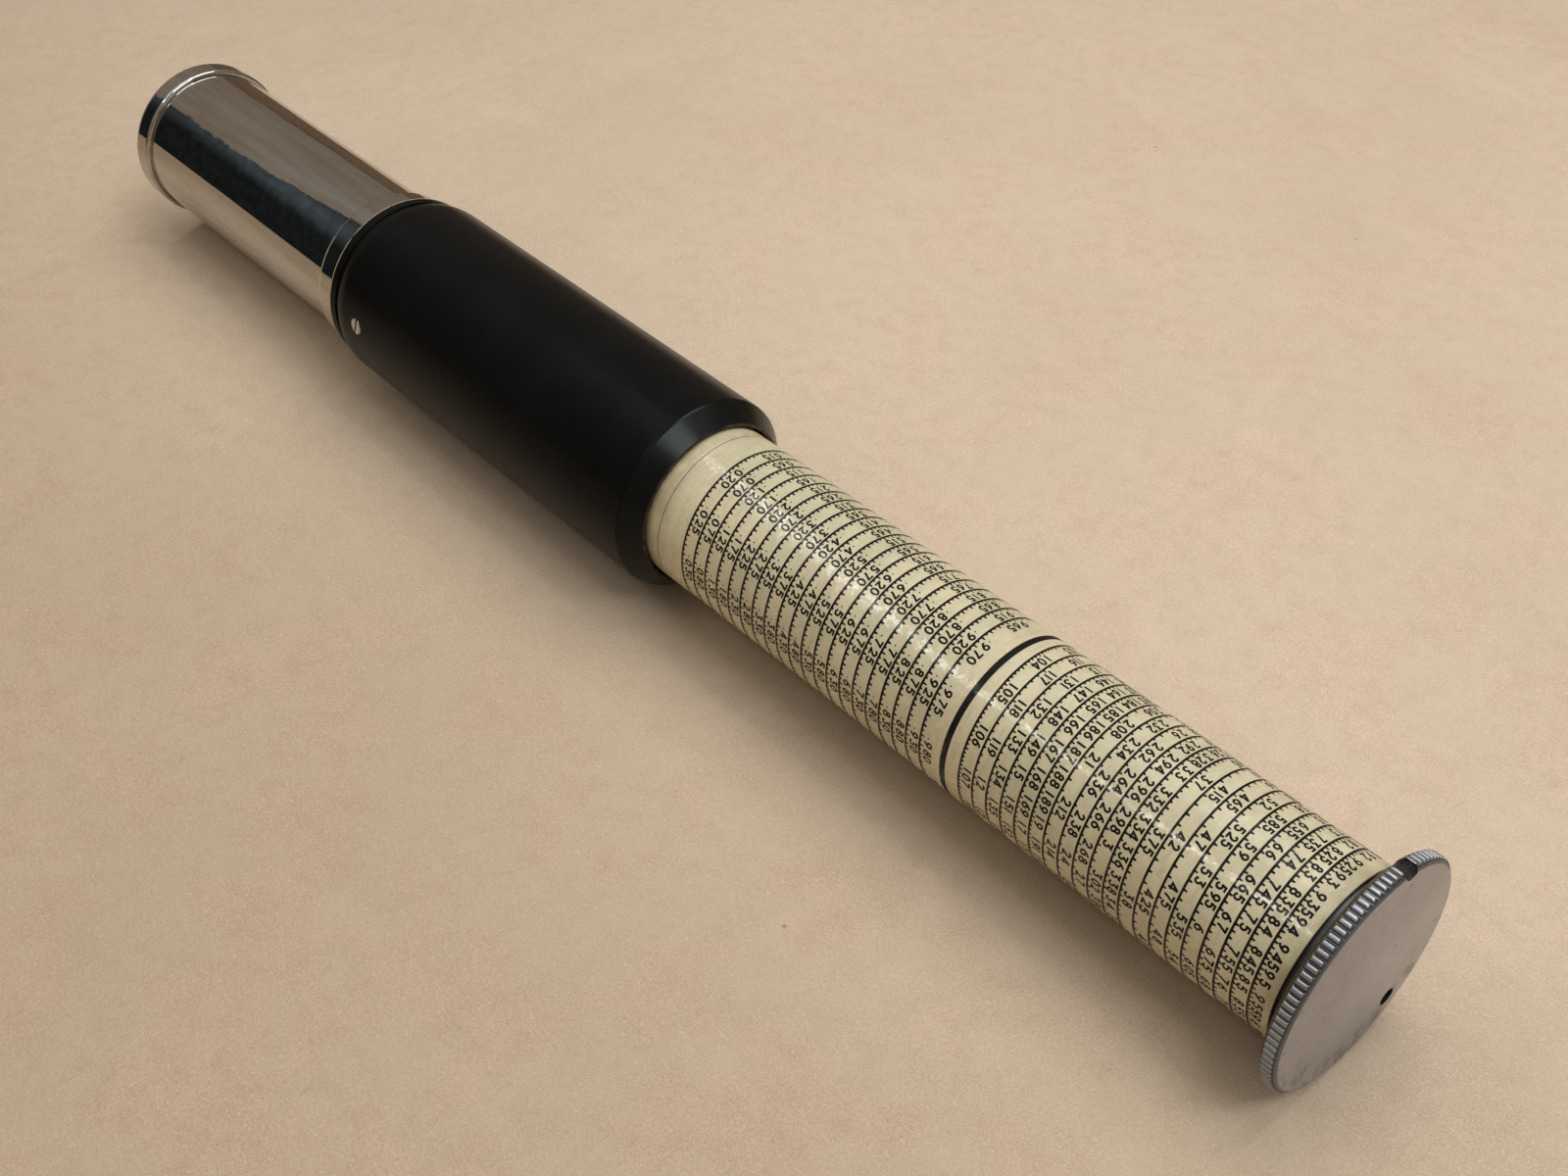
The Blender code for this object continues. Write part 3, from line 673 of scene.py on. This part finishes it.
def cursor_screw():
    """The cursor's screw: a head with a rounded edge and a slot, in a dark recess."""
    seat, angle, slot_turn = 76.7, 172.0, -14.0
    head, top, slot_width, slot_depth, slot_reach = 1.36, 15.44, 0.36, 0.42, 2.5
    ring = circle(48)
    normal = Vector((0.0, math.cos(math.radians(angle)), math.sin(math.radians(angle))))
    turn = Matrix.Rotation(math.radians(slot_turn), 3, normal)
    across = turn @ Vector((1.0, 0.0, 0.0))
    side = turn @ normal.cross(Vector((1.0, 0.0, 0.0)))
    centre = Vector((START + seat * MM, 0.0, AXIS))

    def spot(u, v, height):
        return centre + across * u * MM + side * v * MM + normal * height * MM

    bm = bmesh.new()
    turned = ((BARREL_BORE, head), (top - 0.16, head), (top - 0.05, head - 0.06), (top, head - 0.16))
    loops = [[bm.verts.new(spot(r * u, r * v, height)) for u, v in ring] for height, r in turned]
    bridge(bm, loops)
    bm.faces.new(loops[0])
    bm.faces.new(loops[-1])
    piece = finish_piece("cursor_screw_slotted", bm, steel, "cursor", "cursor_screw")

    block = bmesh.new()
    corners = [[block.verts.new(spot(u * slot_width / 2, v * slot_reach, height))
                for u, v in ((-1, -1), (1, -1), (1, 1), (-1, 1))] for height in (top - slot_depth, top + 1.0)]
    block.faces.new(corners[0])
    block.faces.new(corners[1])
    bridge(block, corners)
    carve(piece, block)

    # the recess is a thin dark ring that follows the barrel's curve
    bm = bmesh.new()
    loops = []
    brim = BARREL_R + 0.004
    for height, r in ((BARREL_R - 0.30, head + 0.02), (brim, head + 0.02), (brim, head + 0.10)):
        drops = [BARREL_R - math.sqrt(BARREL_R * BARREL_R - r * r * v * v) for u, v in ring]
        loops.append([bm.verts.new(spot(r * u, r * v, height - drop)) for (u, v), drop in zip(ring, drops)])
    bridge(bm, loops)
    finish_piece("cursor_screw_recess", bm, bore_dark, "cursor")


knurled_cap()
cursor_screw()


# Printed scales
def arc(cx, cy, rx, ry, start, end, steps):
    """Points on an ellipse, from one angle in degrees to another."""
    angles = [math.radians(start + (end - start) * k / steps) for k in range(steps + 1)]
    return [(cx + rx * math.cos(a), cy + ry * math.sin(a)) for a in angles]


# Each numeral's strokes, across and up, from 0 to 1
six = [[(0.84, 0.97), (0.60, 0.90), (0.36, 0.74), (0.16, 0.53), (0.05, 0.36)],
       arc(0.5, 0.30, 0.47, 0.30, 0.0, 360.0, 14)]
GLYPHS = {
    "0": [arc(0.5, 0.5, 0.5, 0.5, 0.0, 360.0, 18)],
    "1": [[(0.5, 0.0), (0.5, 1.0)]],
    "2": [arc(0.5, 0.71, 0.44, 0.29, 160.0, -25.0, 9) + [(0.62, 0.34), (0.04, 0.0)],
          [(0.04, 0.0), (1.0, 0.0)]],
    "3": [[(0.08, 1.0), (0.92, 1.0), (0.46, 0.60)], arc(0.47, 0.30, 0.48, 0.30, 92.0, -150.0, 10)],
    "4": [[(0.80, 0.0), (0.80, 1.0)], [(0.74, 1.0), (-0.05, 0.24), (1.08, 0.24)]],
    "5": [[(0.92, 1.0), (0.20, 1.0), (0.12, 0.55)],
          [(0.12, 0.55)] + arc(0.48, 0.32, 0.48, 0.32, 112.0, -148.0, 10)],
    "6": six,
    "7": [[(0.0, 1.0), (0.98, 1.0)], [(0.98, 1.0), (0.66, 0.58), (0.42, 0.25), (0.34, 0.0)]],
    "8": [arc(0.5, 0.765, 0.37, 0.235, 0.0, 360.0, 12), arc(0.5, 0.275, 0.48, 0.275, 0.0, 360.0, 14)],
    "9": [[(1.0 - u, 1.0 - v) for u, v in stroke] for stroke in six],
}


class Print:
    """Collects flat strokes and wraps them round a cylinder.

    A stroke's points are given along the axis and along the arc, both in millimetres."""

    def __init__(self, radius):
        self.radius = radius
        self.per_mm = math.degrees(1.0 / radius)
        self.vertices = []
        self.faces = []

    def vertex(self, along, arc_mm):
        self.vertices.append(point(along, self.radius + INK_LIFT, arc_mm * self.per_mm))

    def patch(self, corners):
        first = len(self.vertices)
        for along, arc_mm in corners:
            self.vertex(along, arc_mm)
        self.faces.append(tuple(range(first, first + len(corners))))

    def ribbon(self, points, width, ends=True):
        """A mitred ribbon of a width through points. Its open ends reach a little past them."""
        path = [Vector(p) for p in points]
        closed = (path[0] - path[-1]).length < 1e-6
        half = width / 2.0
        last = len(path) - 1
        first = len(self.vertices)
        steps = [(q - p).normalized() for p, q in zip(path, path[1:])]
        for i, spot in enumerate(path):
            a = steps[i - 1] if i or closed else steps[0]
            b = steps[i] if i < last else steps[0] if closed else steps[-1]
            tangent = (a + b).normalized() if (a + b).length > 0.4 else a
            normal = Vector((-tangent.y, tangent.x))
            stretch = half / max(normal.dot(Vector((-a.y, a.x))), 0.45)
            if ends and not closed and i == 0:
                spot = spot - a * half * 0.6
            if ends and not closed and i == last:
                spot = spot + a * half * 0.6
            for corner in (spot + normal * stretch, spot - normal * stretch):
                self.vertex(corner.x, corner.y)
        for k in range(first, first + 2 * last, 2):
            self.faces.append((k, k + 2, k + 3, k + 1))

    def dot(self, along, arc_mm, size):
        angles = [math.radians(a) for a in range(0, 360, 40)]
        self.patch([(along + size * math.cos(a), arc_mm + size * math.sin(a)) for a in angles])

    def glyph(self, digit, along, arc_mm, width, height, stroke):
        for line in GLYPHS[digit]:
            self.ribbon([(along + v * height, arc_mm + (u - 0.5) * width) for u, v in line], stroke)

    def tooth(self, along, arc_mm, root, length, base, tip):
        """A division mark that stands on the spiral line, wide at its base."""
        neck, end = along + root + length * 0.35, along + root + length
        self.patch([(along + root * 0.5, arc_mm - base / 2), (neck, arc_mm - tip), (end, arc_mm - tip * 0.8),
                    (end, arc_mm + tip * 0.8), (neck, arc_mm + tip), (along + root * 0.5, arc_mm + base / 2)])

    def spiral(self, start, pitch, first, turns, width):
        steps = int(turns * 120)
        shares = [turns * k / steps for k in range(steps + 1)]
        self.ribbon([(start + pitch * t, (first + 360.0 * t) / self.per_mm) for t in shares], width, False)

    def ring(self, low, high):
        sides = 144
        edges = [360.0 * k / sides / self.per_mm for k in range(sides + 1)]
        for a, b in zip(edges, edges[1:]):
            self.patch([(low, a), (high, a), (high, b), (low, b)])

    def piece(self, name, material, body):
        """Makes the print a piece whose faces all look outward."""
        mesh = bpy.data.meshes.new(name)
        mesh.from_pydata(self.vertices, [], self.faces)
        mesh.validate()
        inward = [p.index for p in mesh.polygons
                  if p.normal.dot(Vector((0.0, p.center.y, p.center.z - AXIS))) < 0.0]
        bm = bmesh.new()
        bm.from_mesh(mesh)
        bm.faces.ensure_lookup_table()
        bmesh.ops.reverse_faces(bm, faces=[bm.faces[i] for i in inward])
        bm.to_mesh(mesh)
        bm.free()
        mesh.shade_smooth()
        obj = add_object(name, mesh, material)
        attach(obj, body)


ZERO = -40.0  # angle at which every scale begins
TURNS = 20
LABEL_GAP = 0.20  # on each side of the mark that splits a label
DIGIT_GAP = 0.14

# Where the spiral starts and its pitch, the line's width, a digit's width, the digit 1's width, a digit's
# height, how far the digits stand off the line, a stroke's width, and whether a dot leads the digits
Style = namedtuple("Style", "start pitch line cell narrow height base stroke leading_dot")
UPPER_LINEAR = Style(153.96, 2.4711, 0.36, 1.02, 0.68, 1.47, 0.68, 0.30, True)
UPPER_LOG = Style(207.858, 2.3682, 0.33, 0.94, 0.38, 1.50, 0.52, 0.29, False)
LOWER_LOG = Style(70.2, 2.4711, 0.34, 0.98, 0.42, 1.50, 0.56, 0.29, False)

# Where each plain ring of ink begins and ends
UPPER_RULE = (150.02, 150.12)
UPPER_BAND = (205.99, 206.95)
LOWER_RULES = ((68.3, 68.4), (122.6, 123.4))


def spiral_scale(lines, figures, divisions, style):
    """Line, division marks and numerals of one scale of 20 turns."""
    marks, labels = divisions
    edge = style.line / 2.0
    lines.spiral(style.start, style.pitch, ZERO, TURNS, style.line)

    def spot(share):
        turn = TURNS * share
        return style.start + style.pitch * turn, (ZERO + 360.0 * turn) / lines.per_mm

    for share, length in marks:
        lines.tooth(*spot(share), edge, length, 0.42, 0.14)
    for share, digits in labels:
        along, arc_mm = spot(share)
        lines.tooth(along, arc_mm, edge, style.base - edge - 0.10, 0.38, 0.12)
        figures.dot(along + style.base - 0.10, arc_mm, 0.13)
        widths = [style.narrow if digit == "1" else style.cell for digit in digits]
        if style.leading_dot:
            figures.dot(along + style.base + style.height * 0.38, arc_mm - LABEL_GAP - widths[0] - 0.46, 0.12)
        place = arc_mm - LABEL_GAP - widths[0] / 2.0
        for n, digit in enumerate(digits):
            if n == 1:
                place = arc_mm + LABEL_GAP + widths[1] / 2.0
            elif n > 1:
                place += (widths[n - 1] + widths[n]) / 2.0 + DIGIT_GAP
            climb = style.pitch * (place - arc_mm) * lines.per_mm / 360.0
            figures.glyph(digit, along + climb + style.base + style.stroke / 2.0, place,
                          style.cell - style.stroke, style.height - style.stroke, style.stroke)


def linear_marks():
    """Marks and numerals of an even scale, with a numeral every half of a hundredth."""
    marks = [(k / 2000.0, 0.46 if k % 2 == 0 else 0.20) for k in range(1, 2000) if k % 10]
    labels = [(k / 200.0, "%03d" % (k * 5)) for k in range(1, 200)]
    return marks, labels


def log_marks():
    """Marks and numerals of a logarithmic scale from 1 to 10."""
    marks, labels = [], []
    # from, to, one mark every, a longer one every and a numeral every, all in thousandths
    stages = ((1000, 1100, 1, 5, 10), (1100, 2000, 2, 10, 10), (2000, 3500, 5, 10, 20),
              (3500, 4000, 5, 10, 50), (4000, 10000, 10, 10, 50))
    for low, high, fine, longer, label in stages:
        for value in range(low, high, fine):
            share = math.log10(value / 1000.0)
            if value % label == 0:
                labels.append((share, ("%.2f" % (value / 1000.0)).rstrip("0").replace(".", "")))
            else:
                marks.append((share, 0.40 if value % longer == 0 else 0.22))
    return marks, labels


upper_lines, upper_figures, upper_band = Print(UPPER_R), Print(UPPER_R), Print(UPPER_R)
spiral_scale(upper_lines, upper_figures, linear_marks(), UPPER_LINEAR)
spiral_scale(upper_lines, upper_figures, log_marks(), UPPER_LOG)
upper_lines.ring(*UPPER_RULE)
upper_band.ring(*UPPER_BAND)
upper_lines.piece("upper_scale_lines", print_ink, "cylinder")
upper_figures.piece("upper_scale_numerals", print_ink, "cylinder")
upper_band.piece("upper_scale_band", band_ink, "cylinder")
lower_lines, lower_figures = Print(LOWER_R), Print(LOWER_R)
spiral_scale(lower_lines, lower_figures, log_marks(), LOWER_LOG)
for low, high in LOWER_RULES:
    lower_lines.ring(low, high)
lower_lines.piece("lower_scale_lines", print_ink, "holder")
lower_figures.piece("lower_scale_numerals", print_ink, "holder")


# Floor, light and camera
def floor():
    """A pale sheet with soft clouds, grain and specks, and painted shade that darkens it a little towards the
    front.
    """
    m = Look("pale_floor", (0.60, 0.48, 0.36), 0.75)
    m.set("Specular IOR Level", 0.2)
    clouds = m.step(m.noise(9.0, 4.0, 0.6), 0.35, 0.7)
    grain = m.noise(1900.0, 3.0, 0.7)
    dust = m.noise(3600.0, 2.0, 0.6)
    flecks = m.noise(700.0, 4.0, 0.7, m.stretch(1.0, 0.3, 1.0))
    colour = m.layers(m.mix(clouds, (0.635, 0.512, 0.392), (0.565, 0.450, 0.340)), (
        (m.noise(260.0, 5.0, 0.65), 0.40, 0.70, 0.50, (0.51, 0.395, 0.285)),
        (flecks, 0.54, 0.74, 0.35, (0.43, 0.32, 0.22)),
        (grain, 0.42, 0.75, 0.50, (0.46, 0.35, 0.25)),
        (m.noise(1500.0, 2.0, 0.6), 0.52, 0.80, 0.50, (0.78, 0.65, 0.51)),
        (dust, 0.50, 0.64, 0.20, (0.36, 0.27, 0.19)),
        (dust, 0.50, 0.36, 0.20, (0.88, 0.76, 0.62)),
        (m.noise(34.0, 5.0, 0.7), 0.50, 0.78, 0.40, (0.70, 0.58, 0.46)),
        (m.cells(60.0), 0.024, 0.012, 0.60, (0.22, 0.15, 0.09)),
        (m.noise(45.0, 3.0, 0.6), 0.40, 0.62, 0.30, (0.60, 0.505, 0.375))))
    # Painted shade: the sheet's colour is darkened towards the front.
    front = m.step(m.y, 0.060, -0.110)
    m.colour(m.mix(front, colour, (0.80, 0.77, 0.71), "MULTIPLY"))
    m.bump(m.plus(grain, m.times(m.noise(26.0, 3.0, 0.5), 4.0)), 0.25, 0.6)
    bm = bmesh.new()
    bmesh.ops.create_circle(bm, cap_ends=True, segments=96, radius=3.0)
    object_from("floor", bm, m.material)


def seen_in_reflections(obj):
    """Makes an object one that the camera doesn't see and that neither lights nor shades anything."""
    obj.visible_camera = False
    obj.visible_diffuse = False
    obj.visible_shadow = False


def mirrored(along, degrees, plane_y=-0.14):
    """Where the camera's ray, mirrored at a place on the handle, meets the dark card's plane."""
    place = point(along, HANDLE_R, degrees)
    out = Vector((0.0, math.cos(math.radians(degrees)), math.sin(math.radians(degrees))))
    view = (CAMERA - place).normalized()
    ray = 2.0 * out.dot(view) * out - view
    return place + ray * ((plane_y - place.y) / ray.y)


def card_edge(along):
    """The angle on the handle at which the card's ragged edge is seen. It falls towards the collar."""
    straight, falling = 25.0, 37.0
    bend = max(along - straight, 0.0) / falling
    rag = 0.5 * math.sin(along * 0.5) + 0.7 * math.sin(along * 1.65 + 1.0)
    rag += 0.6 * math.sin(along * 2.9 + 2.0) ** 3
    return 124.3 - 8.8 * min(bend, 1.05) ** 1.6 + rag * max(1.05 - 0.75 * bend, 0.3)


def card_material():
    """Matt blue-black with lengthwise streaks, paler near its upper edge, and more so at the collar."""
    m = Look("dark_card", (0.03, 0.03, 0.03), 0.9)
    m.set("Specular IOR Level", 0.0)
    place = m.add("ShaderNodeUVMap", uv_map="card").outputs[0]
    across, down = m.parts(place)[:2]
    streaks = m.step(m.noise(1.0, 4.0, 0.65, m.stretch(60.0, 5.0, 1.0, place)), 0.36, 0.68)
    near_collar = m.step(across, 0.10, 0.50, 0.75, 1.0)
    upper = m.times(m.step(down, 0.56, 0.28), near_collar)
    dark = m.mix(streaks, (0.019, 0.025, 0.031), (0.040, 0.056, 0.070))
    pale = m.mix(streaks, (0.115, 0.172, 0.235), (0.23, 0.34, 0.45))
    m.colour(m.mix(upper, dark, pale))
    return m.material


def dark_flag():
    """A dark studio card beyond the frame that the bright handle reflects."""
    columns, rows, first, length, last_angle = 230, 12, 0.8, 77.0, 158.0
    bm = bmesh.new()
    layer = bm.loops.layers.uv.new("card")
    grid = []
    for i in range(columns + 1):
        along = first + length * i / columns
        edge = card_edge(along)
        column = []
        for k in range(rows + 1):
            degrees = edge + (last_angle - edge) * (k / rows) ** 1.4
            spot = mirrored(along, degrees)
            vertex = bm.verts.new((spot.x, spot.y, max(spot.z, 0.001)))
            column.append((vertex, (along / 70.0, (degrees - 110.0) / 50.0)))
        grid.append(column)
    for a, b in zip(grid, grid[1:]):
        for k in range(rows):
            corners = (a[k], b[k], b[k + 1], a[k + 1])
            face = bm.faces.new([vertex for vertex, uv in corners])
            for loop, (vertex, uv) in zip(face.loops, corners):
                loop[layer].uv = uv
    seen_in_reflections(object_from("dark_flag", bm, card_material()))


def far_edge():
    """A dim brown card where the pale sheet ends beyond the frame."""
    left, right, height = (-0.42, -0.10), (0.09, 0.41), 0.06
    m = Look("brown_card", (0.24, 0.175, 0.12), 0.9)
    m.colour(m.mix(m.noise(14.0), (0.20, 0.145, 0.10), (0.29, 0.215, 0.15)))
    bm = bmesh.new()
    bm.faces.new([bm.verts.new(c) for c in ((*left, 0.0), (*right, 0.0), (*right, height), (*left, height))])
    seen_in_reflections(object_from("far_edge", bm, m.material))


def world():
    """The camera sees a plain pale backdrop. All else sees a soft studio that is darker low down."""
    studio = bpy.data.worlds.new("studio")
    bpy.context.scene.world = studio
    studio.use_nodes = True
    tree = studio.node_tree
    tree.nodes.clear()
    link = tree.links.new
    out = tree.nodes.new("ShaderNodeOutputWorld")
    backdrop = tree.nodes.new("ShaderNodeBackground")
    backdrop.inputs[0].default_value = (0.86, 0.78, 0.68, 1.0)
    light = tree.nodes.new("ShaderNodeBackground")
    coords = tree.nodes.new("ShaderNodeTexCoord")
    parts = tree.nodes.new("ShaderNodeSeparateXYZ")
    link(coords.outputs["Generated"], parts.inputs[0])
    height = tree.nodes.new("ShaderNodeMapRange")
    link(parts.outputs[2], height.inputs["Value"])
    height.inputs["From Min"].default_value = -0.1
    height.inputs["From Max"].default_value = 1.0
    ramp = tree.nodes.new("ShaderNodeValToRGB")
    link(height.outputs[0], ramp.inputs[0])
    stops = ramp.color_ramp.elements
    stops[0].position = 0.08
    stops[0].color = (0.205, 0.163, 0.118, 1.0)
    stops[1].position = 1.0
    stops[1].color = (0.62, 0.60, 0.58, 1.0)
    for place, colour in ((0.62, (0.315, 0.265, 0.212)), (0.75, (0.42, 0.40, 0.37))):
        stops.new(place).color = (*colour, 1.0)
    link(ramp.outputs[0], light.inputs[0])
    path = tree.nodes.new("ShaderNodeLightPath")
    choose = tree.nodes.new("ShaderNodeMixShader")
    link(path.outputs["Is Camera Ray"], choose.inputs[0])
    link(light.outputs[0], choose.inputs[1])
    link(backdrop.outputs[0], choose.inputs[2])
    link(choose.outputs[0], out.inputs[0])


def lamp(name, place, target, size, power, colour):
    """An area light of a size in metres that faces a target."""
    data = bpy.data.lights.new(name, "AREA")
    data.shape = "RECTANGLE"
    data.size, data.size_y = size
    data.energy = power
    data.color = colour
    obj = bpy.data.objects.new(name, data)
    bpy.context.scene.collection.objects.link(obj)
    obj.location = place
    obj.rotation_euler = (Vector(target) - Vector(place)).to_track_quat("-Z", "Y").to_euler()
    return obj


def strip(name, first, last, target, power, width=0.05, colour=(1.0, 0.98, 0.95)):
    """A long narrow area light between two places that faces a target."""
    first, last = Vector(first), Vector(last)
    middle = (first + last) / 2.0
    long_way = (last - first).normalized()
    side = (middle - Vector(target)).normalized().cross(long_way).normalized()
    obj = lamp(name, middle, target, ((last - first).length, width), power, colour)
    obj.rotation_euler = Matrix((long_way, side, long_way.cross(side))).transposed().to_euler()


def camera():
    """The camera that was recovered from the photograph."""
    data = bpy.data.cameras.new("camera")
    data.sensor_width = 36.0
    data.lens = 44.077
    data.clip_start = 0.01
    obj = bpy.data.objects.new("camera", data)
    bpy.context.scene.collection.objects.link(obj)
    obj.location = CAMERA
    down, azimuth = 0.72750, 2.41034
    ahead = Vector((math.cos(down) * math.cos(azimuth), math.cos(down) * math.sin(azimuth), -math.sin(down)))
    obj.rotation_euler = ahead.to_track_quat("-Z", "Y").to_euler()
    bpy.context.scene.camera = obj


floor()
dark_flag()
far_edge()
world()
window_corner = (-0.25, -0.36, 0.55)
lamp("key", place=(0.04, 0.20, 0.52), target=(0.04, 0.05, 0.0), size=(0.32, 0.32), power=1.35,
     colour=(1.0, 0.965, 0.925))
lamp("fill", place=(0.50, -0.02, 0.80), target=(0.02, 0.0, 0.0), size=(0.40, 0.24), power=2.40,
     colour=(0.97, 0.98, 1.0))
lamp("side_window", place=(0.80, 0.0, 0.34), target=(0.13, 0.0, 0.02), size=(0.50, 0.34), power=0.27,
     colour=(0.80, 0.90, 1.0))
strip("long_window", (-0.438, 0.12, 0.657), window_corner, target=(0.08, 0.0, 0.02), power=0.50)
strip("short_window", window_corner, (-0.03, -0.345, 0.53), target=(0.10, 0.0, 0.02), power=0.20)
camera()
bpy.context.scene.view_settings.view_transform = "Standard"
